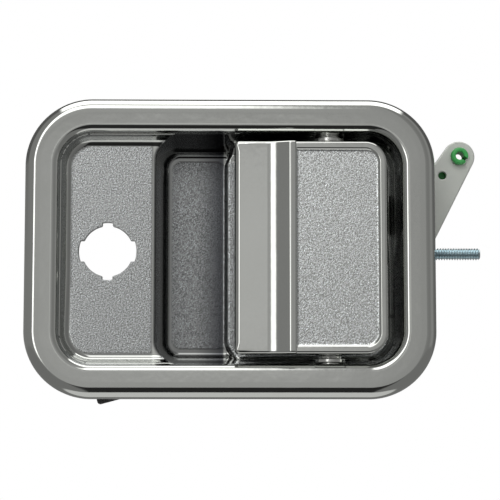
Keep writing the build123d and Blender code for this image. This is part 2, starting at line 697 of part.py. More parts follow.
pieces = {
    "housing": housing,
    "gasket": gasket,
    "paddle": paddle,
    "upper_pivot_bush": upper_pivot_bush,
    "lower_pivot_bush": lower_pivot_bush,
    "pivot_pin": pivot_pin,
    "pivot_pin_clip": pivot_pin_clip,
    "stop_bumper": stop_bumper,
    "return_spring": return_spring,
    "release_lever": release_lever,
    "rod_clip": rod_clip,
    "follower_pin": follower_pin,
    "follower_sleeve": follower_sleeve,
    "lever_pivot": lever_pivot,
    "lever_washer": lever_washer,
    "lever_pivot_clip": lever_pivot_clip,
    "lever_spring": lever_spring,
    "retaining_stud": retaining_stud,
    "stud_lock_washer": stud_lock_washer,
    "stud_jam_nut": stud_jam_nut,
    "lock_lever": lock_lever,
    "lock_lever_pivot": lock_lever_pivot,
    "lock_lever_washer": lock_lever_washer,
    "lock_lever_clip": lock_lever_clip,
}
os.makedirs("parts", exist_ok=True)
for name, piece in pieces.items():
    piece.part.label = name
    export_step(piece.part, f"parts/{name}.step")
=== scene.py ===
"""Flush paddle door handle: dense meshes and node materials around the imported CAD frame."""

import json
import math

import bmesh
import bpy
import numpy as np
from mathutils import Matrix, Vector


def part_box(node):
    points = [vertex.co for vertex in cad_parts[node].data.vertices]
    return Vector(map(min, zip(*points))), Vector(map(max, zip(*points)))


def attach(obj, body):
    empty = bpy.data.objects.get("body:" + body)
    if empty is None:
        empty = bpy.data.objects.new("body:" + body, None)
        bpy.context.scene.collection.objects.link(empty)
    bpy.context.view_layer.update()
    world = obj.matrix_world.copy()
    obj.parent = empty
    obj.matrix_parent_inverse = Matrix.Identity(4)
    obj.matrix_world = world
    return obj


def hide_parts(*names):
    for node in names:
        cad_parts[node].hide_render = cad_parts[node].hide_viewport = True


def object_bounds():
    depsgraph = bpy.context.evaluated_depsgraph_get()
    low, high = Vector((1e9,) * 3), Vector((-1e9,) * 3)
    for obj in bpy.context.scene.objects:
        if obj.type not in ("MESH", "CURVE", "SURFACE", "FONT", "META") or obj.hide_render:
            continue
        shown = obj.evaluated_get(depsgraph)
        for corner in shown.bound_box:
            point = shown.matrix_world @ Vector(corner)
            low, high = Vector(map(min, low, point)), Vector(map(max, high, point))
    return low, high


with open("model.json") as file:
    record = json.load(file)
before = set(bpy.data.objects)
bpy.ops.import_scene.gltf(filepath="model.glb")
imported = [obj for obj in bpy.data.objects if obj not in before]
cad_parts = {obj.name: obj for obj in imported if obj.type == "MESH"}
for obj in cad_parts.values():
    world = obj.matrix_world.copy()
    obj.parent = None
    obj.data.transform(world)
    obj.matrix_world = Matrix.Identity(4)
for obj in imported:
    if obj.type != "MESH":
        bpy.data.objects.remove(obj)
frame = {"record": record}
cad_low, cad_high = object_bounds()

bodies = {
    node: body
    for body, nodes in frame["record"]["behaviour"]["bodies"].items()
    for node in nodes
}

MM = 0.001

# ------------------------------------------------------------------ dimensions, in millimetres
# X is to the right seen from outside, Y into the door, Z up, as in the frame.


def node_box(node):
    """The lowest and highest corner of a CAD node, in millimetres."""
    low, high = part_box(node)
    return np.array(low) / MM, np.array(high) / MM


housing_low, housing_high = node_box("housing")
paddle_low, paddle_high = node_box("paddle")
bush_low, bush_high = node_box("upper_pivot_bush")
lever_low, lever_high = node_box("release_lever")
stud_low, stud_high = node_box("retaining_stud")

BEZEL_HALF = (housing_high[0], housing_high[2])
BEZEL_CORNER = 26.6
BEZEL_BAND = 13.7
BEZEL_RIM = 3.0
CROWN_Y = housing_low[1]
CROWN_ROUND = 4.5
CROWN_BEND_R = 45.0
LIP_ROUND = 3.2
BEZEL_BACK_Y = -1.2
LIP_Y = CROWN_Y + 4.5
PANEL_Y = 0.0
WALL = 2.5
OPENING_HALF = (BEZEL_HALF[0] - BEZEL_BAND, BEZEL_HALF[1] - BEZEL_BAND)
OPENING_CORNER = BEZEL_CORNER - BEZEL_BAND
PANEL_SLOPE = 2.9 / 4.5
HOOK_END_X = -73.2
HOOK_Z = 22.0
HOOK_HALF = 6.0
LOCK_HOLE = (-48.5, -0.8)
LOCK_R = 10.05
NOTCH_R = 11.4
SIDE_NOTCH = 8.2
TOP_NOTCH = 4.0
COLLAR_R = 12.4
POCKET_LEFT = -30.4
POCKET_CORNER = 10.0
POCKET_SLOPE = math.tan(math.radians(9.7))
RAISED_FLOOR_Y = 11.0
DEEP_FLOOR_Y = 21.0
STEP_X = -1.7
FLARE_START = 35.0
FLARE_BEND = 0.07
FLARE_LIMIT = 7.0
FLOOR_FILLET = 1.6
UPPER_FILLET = 4.2
TAIL_SLOT_X = (34.5, 49.4)
SPRING_PEG = (62.7, 1.0)
PEG_R = 1.2

PADDLE_FACE_Y = -12.5
PADDLE_BACK_Y = -3.0
PADDLE_PLATE = 2.6
PADDLE_SKIRT = 2.3
RIDGE_Y = paddle_low[1]
RAMP_START = 16.2
HOLLOW_RUN = 2.5
CREST_START = 23.3
CREST_RUN = 0.4
PADDLE_HALF = 41.6
PADDLE_Z = -0.3
CREST_END = 25.6
RECESS_START = 26.0
RECESS_DEPTH = 0.9
RECESS_RIM = 2.7
PIVOT = ((bush_low[0] + bush_high[0]) / 2, (bush_low[1] + bush_high[1]) / 2)
PIN_R = 2.38
LUG_R = 5.5
TAIL_Z = (10.0, 23.0)

BUSH_R = 4.45
BUSH_FLANGE_R = (bush_high[0] - bush_low[0]) / 2
BUSH_START = bush_low[2] - PADDLE_Z
BUSH_SEAT = 44.6
BUSH_FLANGE = 1.5
BUSH_END = bush_high[2] - PADDLE_Z

LEVER_PIVOT = (60.6, -13.5)
LEVER_Y = lever_low[1]
LEVER_BACK_Y = lever_high[1]
LEVER_HUB_R = 11.6
LEVER_END_R = 6.45
LEVER_PIVOT_R = 3.0
ROD_CLIP = (94.0, 40.9)
CLIP_NOSE = 3.4
ROD_R = 1.6
SMALL_HOLE = (87.1, 33.1)
FOLLOWER = (40.3, 19.0)

STUD = ((stud_low[1] + stud_high[1]) / 2, (stud_low[2] + stud_high[2]) / 2)
STUD_R = 2.4
STUD_BOSS_R = 5.5
THREAD_PITCH = 25.4 / 24
THREAD_DEPTH = 0.62
THREAD_FLAT = 0.12

LOCK_PIVOT = (-52.5, -33.0)
LOCK_TILT = math.radians(15)
LOCK_LEVER_Y = 7.0
LOCK_LEVER_THICK = 2.5
LOCK_ARM = 27.3
LOCK_PIVOT_R = 2.5

# ------------------------------------------------------------------ distances
# A shape is a function of x, y, z that gives the distance to its surface, negative inside.


def meet(a, b, radius=0.0):
    """What is in both shapes, with the edge where they cross rounded to radius."""
    sharp = np.maximum(a, b)
    if np.isscalar(radius) and radius == 0:
        return sharp
    corner = np.hypot(np.maximum(a + radius, 0), np.maximum(b + radius, 0))
    return np.minimum(-radius, sharp) + corner


def join(a, b, radius=0.0):
    """What is in either shape, with a fillet of radius between them."""
    return -meet(-a, -b, radius)


def cut(a, b, radius=0.0):
    """What is in a but not in b, with the edges of the cut rounded to radius."""
    return meet(a, -b, radius)


def rise(value, start, run):
    """0 at start and 1 a run further on. A negative run rises towards lower values."""
    return np.clip((value - start) / run, 0, 1)


def rounded_rect(x, z, centre, half, corner):
    """Distance in plan to a rectangle with rounded corners."""
    across_x = np.abs(x - centre[0]) - half[0] + corner
    across_z = np.abs(z - centre[1]) - half[1] + corner
    outside = np.hypot(np.maximum(across_x, 0), np.maximum(across_z, 0))
    return np.minimum(np.maximum(across_x, across_z), 0) + outside - corner


def two_corner_rect(x, z, left, right, half_z, left_corner, right_corner):
    """A rectangle whose left and right corners have different radii."""
    middle = (left + right) / 2
    corner = np.where(x < middle, left_corner, right_corner)
    return rounded_rect(x, z, (middle, 0), ((right - left) / 2, half_z), corner)


def circle(u, v, centre, radius):
    """Distance in plan to a circle."""
    return np.hypot(u - centre[0], v - centre[1]) - radius


def between(value, low, high):
    """Distance to a slab."""
    return np.maximum(low - value, value - high)


def turned(x, z, centre, angle):
    """Plan coordinates about a centre, along and across a direction at that angle from X."""
    cosine, sine = math.cos(angle), math.sin(angle)
    along = (x - centre[0]) * cosine + (z - centre[1]) * sine
    off = (z - centre[1]) * cosine - (x - centre[0]) * sine
    return along, off


def arm(x, z, start, start_r, end, end_r):
    """Distance in plan to a tapered arm: the hull of two circles."""
    run = np.array(end) - np.array(start)
    length = math.hypot(*run)
    along_axis = run / length
    along = (x - start[0]) * along_axis[0] + (z - start[1]) * along_axis[1]
    off = np.abs((z - start[1]) * along_axis[0] - (x - start[0]) * along_axis[1])
    lean = (start_r - end_r) / length
    rise = math.sqrt(1 - lean * lean)
    side = along * rise - off * lean
    near_start = np.hypot(along, off) - start_r
    near_end = np.hypot(along - length, off) - end_r
    flank = off * rise + along * lean - start_r
    return np.where(side < 0, near_start, np.where(side > length * rise, near_end, flank))


# ------------------------------------------------------------------ meshes


def surface_net(shape, low, high, step):
    """Vertices and quads on the zero surface of shape, from a grid of that step over the box."""
    low, step = np.array(low, float), np.array(step, float)
    counts = np.ceil((np.array(high, float) - low) / step).astype(int) + 2
    axes = [low[n] + step[n] * (np.arange(counts[n]) - 0.5) for n in range(3)]
    x, y, z = axes[0][:, None, None], axes[1][None, :, None], axes[2][None, None, :]
    values = np.broadcast_to(shape(x, y, z), counts).astype(np.float32)
    inside = values < 0
    total = np.zeros(counts - 1, np.uint8)
    corners = [(i, j, k) for i in (0, 1) for j in (0, 1) for k in (0, 1)]
    for i, j, k in corners:
        total += inside[i : counts[0] - 1 + i, j : counts[1] - 1 + j, k : counts[2] - 1 + k]
    active = (total > 0) & (total < 8)
    cell = np.stack(np.nonzero(active), axis=1)
    number = np.full(active.shape, -1, np.int64)
    number[active] = np.arange(len(cell))

    # Each vertex is the mean of the crossings on its cell's edges
    where = np.zeros((len(cell), 3))
    hits = np.zeros(len(cell))
    for axis in range(3):
        along = np.eye(3, dtype=int)[axis]
        for corner in corners:
            if corner[axis]:
                continue
            start = cell + np.array(corner)
            end = start + along
            a = values[tuple(start.T)].astype(float)
            b = values[tuple(end.T)].astype(float)
            crossing = (a < 0) != (b < 0)
            share = np.where(crossing, a / np.where(crossing, a - b, 1), 0)
            where += crossing[:, None] * (start + share[:, None] * along)
            hits += crossing
    points = np.array([axes[n][0] for n in range(3)]) + where / hits[:, None] * step

    quads = []
    for axis in range(3):
        one, two = (axis + 1) % 3, (axis + 2) % 3
        shape_in = np.moveaxis(inside, (axis, one, two), (0, 1, 2))
        cells = np.moveaxis(number, (axis, one, two), (0, 1, 2))
        leaving = shape_in[:-1, 1:-1, 1:-1] & ~shape_in[1:, 1:-1, 1:-1]
        entering = ~shape_in[:-1, 1:-1, 1:-1] & shape_in[1:, 1:-1, 1:-1]
        for crossing, flip in ((leaving, False), (entering, True)):
            i, j, k = np.nonzero(crossing)
            ring = [cells[i, j, k], cells[i, j + 1, k], cells[i, j + 1, k + 1], cells[i, j, k + 1]]
            if flip:
                ring.reverse()
            quads.append(np.stack(ring, axis=1))
    return points, np.concatenate(quads)


def slope(shape, points, reach=0.02):
    """The gradient of shape at points."""
    result = np.empty_like(points)
    for axis in range(3):
        offset = np.zeros(3)
        offset[axis] = reach
        ahead, behind = points + offset, points - offset
        result[:, axis] = (shape(*ahead.T) - shape(*behind.T)) / (2 * reach)
    return result


def mesh_from(name, points, faces):
    """A mesh of quads, given in millimetres."""
    mesh = bpy.data.meshes.new(name)
    mesh.vertices.add(len(points))
    mesh.vertices.foreach_set("co", (points * MM).astype(np.float32).ravel())
    mesh.loops.add(faces.size)
    mesh.loops.foreach_set("vertex_index", faces.astype(np.int32).ravel())
    mesh.polygons.add(len(faces))
    sides = faces.shape[1]
    mesh.polygons.foreach_set("loop_start", np.arange(len(faces), dtype=np.int32) * sides)
    mesh.update(calc_edges=True)
    mesh.validate()
    return mesh


def place(mesh, node, material):
    """Makes the mesh a piece that stands for a CAD node: its body and its material."""
    piece = bpy.data.objects.new(node + "_shape", mesh)
    bpy.context.scene.collection.objects.link(piece)
    piece.data.materials.append(material)
    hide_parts(node)
    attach(piece, bodies[node])
    return piece


def sculpt(node, shape, step, material, masks=None):
    """A piece meshed from its distance function, with true normals and named point attributes."""
    low, high = node_box(node)
    margin = 0.6
    points, quads = surface_net(shape, low - margin, high + margin, step)
    reach = 0.7 * max(step)
    for _ in range(3):
        steepness = slope(shape, points)
        square = np.maximum((steepness**2).sum(axis=1), 0.25)
        move = -(shape(*points.T) / square)[:, None] * steepness
        points += np.clip(move, -reach, reach)
    normals = slope(shape, points)
    normals /= np.maximum(np.linalg.norm(normals, axis=1), 1e-6)[:, None]
    mesh = mesh_from(node, points, quads)
    for name, mask in (masks or {}).items():
        values = np.clip(mask(*points.T), 0, 1).astype(np.float32)
        mesh.attributes.new(name, "FLOAT", "POINT").data.foreach_set("value", values)
    mesh.normals_split_custom_set_from_vertices(normals.tolist())
    return place(mesh, node, material)


def round_corners(outline, radius, closed):
    """The outline with an arc of that radius at each corner that has room for it."""
    count = len(outline)
    result = []
    for n, here in enumerate(outline):
        here = np.array(here, float)
        if not closed and n in (0, count - 1):
            result.append(here)
            continue
        back = np.array(outline[n - 1], float) - here
        ahead = np.array(outline[(n + 1) % count], float) - here
        reach = min(radius, 0.45 * np.linalg.norm(back), 0.45 * np.linalg.norm(ahead))
        start = here + back / np.linalg.norm(back) * reach
        end = here + ahead / np.linalg.norm(ahead) * reach
        for t in np.linspace(0, 1, 5):
            result.append((1 - t) ** 2 * start + 2 * t * (1 - t) * here + t**2 * end)
    return np.array(result)


def lathe(node, outline, centre, axis, material, closed=False, edge=0.3, around=64):
    """A turned piece. outline holds (place along the axis, radius) pairs. A closed one is a ring."""
    profile = round_corners(outline, edge, closed)
    turn = np.linspace(0, 2 * math.pi, around, endpoint=False)
    along = np.repeat(profile[:, :1], around, axis=1)
    cosine = profile[:, 1:] * np.cos(turn)
    sine = profile[:, 1:] * np.sin(turn)
    others = [n for n in range(3) if n != axis]
    points = np.empty((len(profile), around, 3))
    points[:, :, axis] = along
    points[:, :, others[0]] = cosine + centre[0]
    points[:, :, others[1]] = sine + centre[1]
    return place(grid_mesh(node, points, closed), node, material)


def grid_mesh(name, rings, closed_rings):
    """A mesh over a grid of rings: closed along each ring, and along the rings if asked."""
    count, around = rings.shape[:2]
    index = np.arange(count * around).reshape(count, around)
    last = count if closed_rings else count - 1
    here = index[:last]
    ahead = np.roll(index, -1, axis=0)[:last]
    faces = np.stack(
        [here, np.roll(here, -1, axis=1), np.roll(ahead, -1, axis=1), ahead], axis=-1
    ).reshape(-1, 4)
    mesh = mesh_from(name, rings.reshape(-1, 3), faces)
    tidy_mesh(mesh)
    return mesh


def tidy_mesh(mesh):
    """Welds the poles, drops faces with no area and turns the normals outwards."""
    shell = bmesh.new()
    shell.from_mesh(mesh)
    bmesh.ops.remove_doubles(shell, verts=shell.verts, dist=0.002 * MM)
    bmesh.ops.dissolve_degenerate(shell, edges=shell.edges, dist=0.002 * MM)
    bmesh.ops.recalc_face_normals(shell, faces=shell.faces)
    shell.to_mesh(mesh)
    shell.free()


def wire(node, path, radius, material, around=14):
    """A round wire along a path of points, with flat ends."""
    path = np.array(path, float)
    tangent = np.gradient(path, axis=0)
    tangent /= np.linalg.norm(tangent, axis=1)[:, None]
    side = np.cross(tangent[0], (0.3, 0.5, 0.8))
    rings = []
    turn = np.linspace(0, 2 * math.pi, around, endpoint=False)
    for here, heading in zip(path, tangent):
        side = side - heading * np.dot(side, heading)
        side /= np.linalg.norm(side)
        other = np.cross(heading, side)
        circle_points = np.outer(np.cos(turn), side) + np.outer(np.sin(turn), other)
        rings.append(here + radius * circle_points)
    start_cap = np.repeat(path[:1], around, axis=0)
    end_cap = np.repeat(path[-1:], around, axis=0)
    rings = np.array([start_cap] + rings + [end_cap])
    return place(grid_mesh(node, rings, False), node, material)


# ------------------------------------------------------------------ materials


def node_adder(nodes, links):
    """A function that adds a node, with each of its inputs set to a value or linked to a socket."""

    def add(kind, inputs=(), **settings):
        node = nodes.new(kind)
        for key, value in settings.items():
            setattr(node, key, value)
        for key, value in dict(inputs).items():
            if isinstance(value, bpy.types.NodeSocket):
                links.new(value, node.inputs[key])
            else:
                node.inputs[key].default_value = value
        return node

    return add


def new_material(name):
    """A material with a Principled shader, and functions to add nodes and to drive its sockets."""
    material = bpy.data.materials.new(name)
    material.use_nodes = True
    nodes, links = material.node_tree.nodes, material.node_tree.links
    shader = nodes["Principled BSDF"]
    add = node_adder(nodes, links)

    def drive(socket, source):
        links.new(source, shader.inputs[socket])

    return material, shader, add, drive


def noise(add, place_in, scale, detail=4.0, roughness=0.55):
    """Object-space noise with features about 1/scale metres across."""
    inputs = {"Vector": place_in, "Scale": scale, "Detail": detail, "Roughness": roughness}
    return add("ShaderNodeTexNoise", inputs).outputs["Fac"]


def spread(add, factor, low, high, from_low=0.3, from_high=0.7):
    """Maps a noise factor onto a range of values."""
    inputs = {"Value": factor, "From Min": from_low, "From Max": from_high}
    inputs.update({"To Min": low, "To Max": high})
    return add("ShaderNodeMapRange", inputs).outputs["Result"]


def mix_colour(add, factor, first, second):
    """From first, which is a colour or a socket, to the colour second as factor goes to 1."""
    mix = add("ShaderNodeMix", {"Factor": factor}, data_type="RGBA")
    ends = [socket for socket in mix.inputs if socket.type == "RGBA"]
    if isinstance(first, bpy.types.NodeSocket):
        mix.id_data.links.new(first, ends[0])
    else:
        ends[0].default_value = (*first, 1)
    ends[1].default_value = (*second, 1)
    return [socket for socket in mix.outputs if socket.type == "RGBA"][0]


def surface(
    name, first, second, rough, metallic=0.0, blotch=120.0, fine=2500.0, bump=0.00001, stretch=None
):
    """A general finish: a colour that wanders, a roughness that wanders and a fine bump."""
    material, shader, add, drive = new_material(name)
    place_in = add("ShaderNodeTexCoord").outputs["Object"]
    if stretch:
        place_in = add("ShaderNodeMapping", {"Vector": place_in, "Scale": stretch}).outputs["Vector"]
    wander = noise(add, place_in, blotch)
    grit = noise(add, place_in, fine, 3.0)
    drive("Base Color", mix_colour(add, wander, first, second))
    drive("Roughness", spread(add, wander, rough[0], rough[1]))
    height = add("ShaderNodeBump", {"Height": grit, "Strength": 1.0, "Distance": bump})
    drive("Normal", height.outputs["Normal"])
    shader.inputs["Metallic"].default_value = metallic
    return material


def chrome():
    """Polished chrome plate. The point attribute grain gives it a cast grain, and a point attribute
    of painted shade darkens it in the hollows.
    """
    material, shader, add, drive = new_material("chrome_plate")
    place_in = add("ShaderNodeTexCoord").outputs["Object"]
    grain = add("ShaderNodeAttribute", attribute_name="grain").outputs["Fac"]
    wander = noise(add, place_in, 60.0)
    polish = noise(add, place_in, 900.0, 6.0)
    painted_shade = add("ShaderNodeAttribute", attribute_name="painted_shade").outputs["Fac"]

    def on_grain(value):
        return add("ShaderNodeMath", {0: value, 1: grain}, operation="MULTIPLY").outputs[0]

    # Colour: plate that wanders, dark and light specks on the grain, and the painted shade
    plate = mix_colour(add, wander, (0.60, 0.61, 0.585), (0.64, 0.65, 0.63))
    speckle = noise(add, place_in, 1650.0, 3.0, 0.6)
    dark_specks = spread(add, speckle, 0.55, 0.0, 0.36, 0.5)
    light_specks = spread(add, speckle, 0.0, 1.0, 0.42, 0.6)
    plate = mix_colour(add, on_grain(dark_specks), plate, (0.36, 0.375, 0.39))
    plate = mix_colour(add, on_grain(light_specks), plate, (0.90, 0.93, 0.95))
    # Painted shade: the plate goes towards near black where the painted shade attribute is high
    drive("Base Color", mix_colour(add, painted_shade, plate, (0.05, 0.052, 0.06)))

    # Roughness
    smooth_rough = spread(add, polish, 0.06, 0.10)
    mix = add("ShaderNodeMix", {"Factor": grain, "A": smooth_rough, "B": 0.25})
    drive("Roughness", mix.outputs["Result"])

    # Bumps: the grain's pebbles, and the slight waviness of a polished casting
    pebble = noise(add, place_in, 2100.0, 2.0, 0.6)
    grain_bump = add("ShaderNodeBump", {"Height": on_grain(pebble), "Distance": 0.00012})
    peel = noise(add, place_in, 140.0, 2.0)
    peel_bump = add(
        "ShaderNodeBump",
        {"Height": peel, "Distance": 0.00003, "Normal": grain_bump.outputs["Normal"]},
    )
    drive("Normal", peel_bump.outputs["Normal"])
    shader.inputs["Metallic"].default_value = 1.0
    return material


chrome_plate = chrome()
bright_steel = surface(
    "bright_steel", (0.62, 0.62, 0.60), (0.70, 0.70, 0.68), (0.14, 0.26), 1.0, stretch=(1, 1, 14)
)
clip_steel = surface("clip_steel", (0.10, 0.10, 0.105), (0.20, 0.20, 0.20), (0.35, 0.5), 1.0)
spring_steel = surface("spring_steel", (0.38, 0.38, 0.39), (0.50, 0.50, 0.49), (0.25, 0.4), 1.0)
dull_zinc = surface(
    "dull_zinc", (0.60, 0.625, 0.585), (0.72, 0.735, 0.70), (0.42, 0.6), 0.85, 90.0, 1800.0, 2e-5
)
zinc_plate = surface(
    "zinc_plate", (0.46, 0.59, 0.65), (0.66, 0.77, 0.81), (0.2, 0.32), 1.0, 400.0, 3000.0, 1e-5
)
green_nylon = surface(
    "green_nylon", (0.02, 0.20, 0.04), (0.04, 0.28, 0.07), (0.32, 0.45), 0.0, 300.0, 2500.0, 2e-5
)
natural_nylon = surface("natural_nylon", (0.60, 0.57, 0.48), (0.70, 0.67, 0.6), (0.4, 0.5))
rubber = surface("rubber", (0.012, 0.012, 0.013), (0.022, 0.022, 0.022), (0.65, 0.85), bump=4e-5)
black_coating = surface(
    "black_coating", (0.012, 0.012, 0.013), (0.03, 0.03, 0.031), (0.35, 0.55), 0.0, 200.0, 900.0, 3e-5
)

# ------------------------------------------------------------------ housing


def opening_plan(x, z):
    """Distance in plan to the bezel's opening."""
    return rounded_rect(x, z, (0, 0), OPENING_HALF, OPENING_CORNER)


def pocket_hollow(x, y, z):
    """The drafted pocket with its deep floor at the left and the raised floor under the paddle."""
    plan = two_corner_rect(
        x, z, POCKET_LEFT, OPENING_HALF[0], OPENING_HALF[1], POCKET_CORNER, OPENING_CORNER
    )
    walls = (plan + POCKET_SLOPE * (y - LIP_Y)) * math.cos(math.atan(POCKET_SLOPE))
    flare = np.minimum(FLARE_BEND * np.maximum(np.abs(z) - FLARE_START, 0) ** 2, FLARE_LIMIT)
    deep = meet(y - DEEP_FLOOR_Y, x - STEP_X - flare, 1.0)
    floor = join(deep, y - RAISED_FLOOR_Y, FLOOR_FILLET)
    at_upper_right = rise(x, STEP_X, 3) * rise(z, -5, 10)
    fillet = FLOOR_FILLET + (UPPER_FILLET - FLOOR_FILLET) * at_upper_right
    return meet(walls, floor, fillet)


def panel_hollow(x, y, z):
    """The shallow recess over the left panel, whose sloping walls run in to the panel."""
    end = POCKET_LEFT + 10
    middle = (end - OPENING_HALF[0]) / 2
    half = (end + OPENING_HALF[0]) / 2
    corner = np.where(x < middle, OPENING_CORNER, 0.5)
    plan = rounded_rect(x, z, (middle, 0), (half, OPENING_HALF[1]), corner)
    lean = PANEL_SLOPE * (1 - 0.25 * rise(z, -10, -20))
    walls = (plan + lean * (y - LIP_Y)) * math.cos(math.atan(PANEL_SLOPE))
    return meet(walls, y - PANEL_Y, 1.5)


def lock_hole(x, z):
    """The round hole with four notches."""
    reach = circle(x, z, LOCK_HOLE, NOTCH_R)
    side_notches = np.maximum(reach, np.abs(z - LOCK_HOLE[1]) - SIDE_NOTCH / 2)
    end_notches = np.maximum(reach, np.abs(x - LOCK_HOLE[0]) - TOP_NOTCH / 2)
    return np.minimum(np.minimum(circle(x, z, LOCK_HOLE, LOCK_R), side_notches), end_notches)


def bezel_shape(x, y, z):
    """The bezel, hollow behind. Its flat crown starts to fall a little before the round edge."""
    outline = rounded_rect(x, z, (0, 0), BEZEL_HALF, BEZEL_CORNER)
    opening = opening_plan(x, z)
    fall = np.maximum(outline + CROWN_ROUND + 2, 0) ** 2 / (2 * CROWN_BEND_R)
    bezel = meet(outline, CROWN_Y + fall - y, CROWN_ROUND)
    bezel = cut(bezel, opening, LIP_ROUND)
    bezel = meet(bezel, y - BEZEL_BACK_Y, 0.4)
    channel = meet(meet(outline + BEZEL_RIM, WALL - opening, 1.0), CROWN_Y + WALL - y, 1.2)
    return cut(bezel, channel, 0.3)


def add_bosses(body, x, y, z):
    """Adds the bosses for the lock, the levers, their springs, the stud and the bushes."""
    collar = meet(circle(x, z, LOCK_HOLE, COLLAR_R + WALL), between(y, 0, 8.5), 0.5)
    lock_boss = meet(circle(x, z, LOCK_PIVOT, 5.0), between(y, 0, LOCK_LEVER_Y - 0.3), 0.3)
    lever_span = between(y, RAISED_FLOOR_Y, LEVER_Y - 0.3)
    lever_boss = meet(circle(x, z, LEVER_PIVOT, LEVER_PIVOT_R + 3.2), lever_span, 0.4)
    peg = meet(circle(x, z, SPRING_PEG, PEG_R), between(y, RAISED_FLOOR_Y, 17), 0.3)
    stud_boss = meet(circle(y, z, STUD, STUD_BOSS_R), between(x, 63.5, 71), 0.5)
    bush_span = between(np.abs(z - PADDLE_Z), BUSH_SEAT - 1, BUSH_END)
    bush_boss = meet(circle(x, y, PIVOT, BUSH_FLANGE_R + 1.2), bush_span, 0.4)
    for boss in (collar, lock_boss, lever_boss, peg, stud_boss, bush_boss):
        body = join(body, boss, 0.8)
    return body


def add_hooks_and_ribs(body, x, y, z):
    """Adds the hooks that reach behind the door skin and the ribs behind the left panel."""
    from_row = np.abs(np.abs(z) - HOOK_Z)
    hook = np.maximum(between(x, HOOK_END_X, -66), from_row - HOOK_HALF)
    body = join(body, meet(hook, between(y, 1.6, 4.1), 0.4))
    rib = np.maximum(between(x, -67, POCKET_LEFT), from_row - 1)
    return join(body, meet(rib, between(y, 1, 5.0), 0.4), 0.5)


def cut_front(body, x, y, z):
    """Cuts what is hollow as seen from the front: panel recess, pocket and lock hole."""
    opening = opening_plan(x, z)
    recess = meet(opening, panel_hollow(x, y, z), 1.2)
    divider_edge = 0.7 * rise(np.abs(z), OPENING_HALF[1] - 2, -4)
    hollow = join(recess, meet(opening, pocket_hollow(x, y, z)), divider_edge)
    hollow = join(hollow, meet(opening, y - LIP_Y))
    body = cut(body, hollow)
    through = meet(lock_hole(x, z), between(y, -2, WALL + 0.1))
    body = cut(body, through, 0.12)
    return cut(body, meet(circle(x, z, LOCK_HOLE, COLLAR_R), WALL - y), 0.2)


def cut_for_pivot(body, x, y, z):
    """Cuts the seats and bores of the bushes, and the slot for the paddle's tail."""
    from_middle = np.abs(z - PADDLE_Z)
    seat = meet(circle(x, y, PIVOT, BUSH_FLANGE_R + 0.3), between(from_middle, 36, BUSH_SEAT))
    body = cut(body, seat, 0.2)
    bore = meet(circle(x, y, PIVOT, BUSH_R), between(from_middle, BUSH_SEAT - 2, BUSH_END + 1))
    body = cut(body, bore, 0.2)
    slot = np.maximum(between(x, *TAIL_SLOT_X), between(z, TAIL_Z[0] - 1.5, TAIL_Z[1] + 1.5))
    return cut(body, meet(slot, between(y, 8, 15)), 0.3)


def housing_shape(x, y, z):
    """The whole casting: bezel, tub behind its opening and pocket shell, with all that is cut."""
    opening = opening_plan(x, z)
    tub = meet(opening - WALL, between(y, CROWN_Y + 4, WALL), 0.8)
    tub = cut(tub, meet(opening, y - LIP_Y))
    shell = meet(pocket_hollow(x, y, z) - WALL, LIP_Y - y)
    body = join(np.minimum(bezel_shape(x, y, z), tub), shell, 0.6)
    body = add_bosses(body, x, y, z)
    body = add_hooks_and_ribs(body, x, y, z)
    body = cut_front(body, x, y, z)
    return cut_for_pivot(body, x, y, z)


def housing_painted_shade(x, y, z):
    """How much painted shade darkens the plate: on the recessed left panel, in the pocket, most
    beside the paddle.
    """
    inside = rise(pocket_hollow(x, y, z), 1.5, -1) * rise(y, LIP_Y, 1.5)
    in_pocket = inside * rise(x, POCKET_LEFT - 0.6, 0.8)
    beside_paddle = rise(x, -14, 10)
    in_deep_part = rise(x, STEP_X - 0.6, -0.6)
    at_left = rise(x, 25, -15)
    # Painted shade in the pocket: deepest in the deep part beside the paddle, lighter towards the
    # right
    in_pocket_painted_shade = in_pocket * (0.42 * at_left + in_deep_part * (0.23 + 0.3 * beside_paddle))
    on_panel = rise(x, POCKET_LEFT, -0.6) * rise(np.abs(y - PANEL_Y), 1, -1)
    under_edge = in_pocket * rise(x, STEP_X, 2) * rise(np.abs(z), 39, 1.5)
    return in_pocket_painted_shade * (1 - 0.6 * under_edge) + 0.4 * on_panel


def grain_on(*floors):
    """1 inside any of the grained areas, given by their distances, fading at their edges."""
    return 0.5 - np.minimum.reduce(np.broadcast_arrays(*floors)) / 0.4


def housing_grain(x, y, z):
    """Where the housing is grained: the left panel, the pocket's two floors and the step between."""
    panel = two_corner_rect(x, z, -63.0, -31.0, 41.2, 8.0, 1.0)
    on_panel = meet(panel, np.abs(y - PANEL_Y) - 0.3)
    deep = rounded_rect(x, z, ((-23.4 + STEP_X) / 2, 0), ((23.4 + STEP_X) / 2, 38.2), 4.0)
    on_deep = meet(deep, np.abs(y - DEEP_FLOOR_Y) - 0.3)
    raised = rounded_rect(x, z, (31, -2.7), (31 - STEP_X - 0.4, 39.3), 3.0)
    on_raised = meet(raised, np.abs(y - RAISED_FLOOR_Y) - 0.6)
    step = rounded_rect(x, z, (STEP_X, -0.7), (2.4, 37.2), 0.5)
    on_step = meet(step, RAISED_FLOOR_Y - 0.3 - y)
    return grain_on(on_panel, on_deep, on_raised, on_step)


# grain marks the cast grain; the second mask marks painted shade in the pocket and on the left panel
housing_masks = {"grain": housing_grain, "painted_shade": housing_painted_shade}
sculpt("housing", housing_shape, (0.55, 0.45, 0.55), chrome_plate, housing_masks)

# ------------------------------------------------------------------ paddle


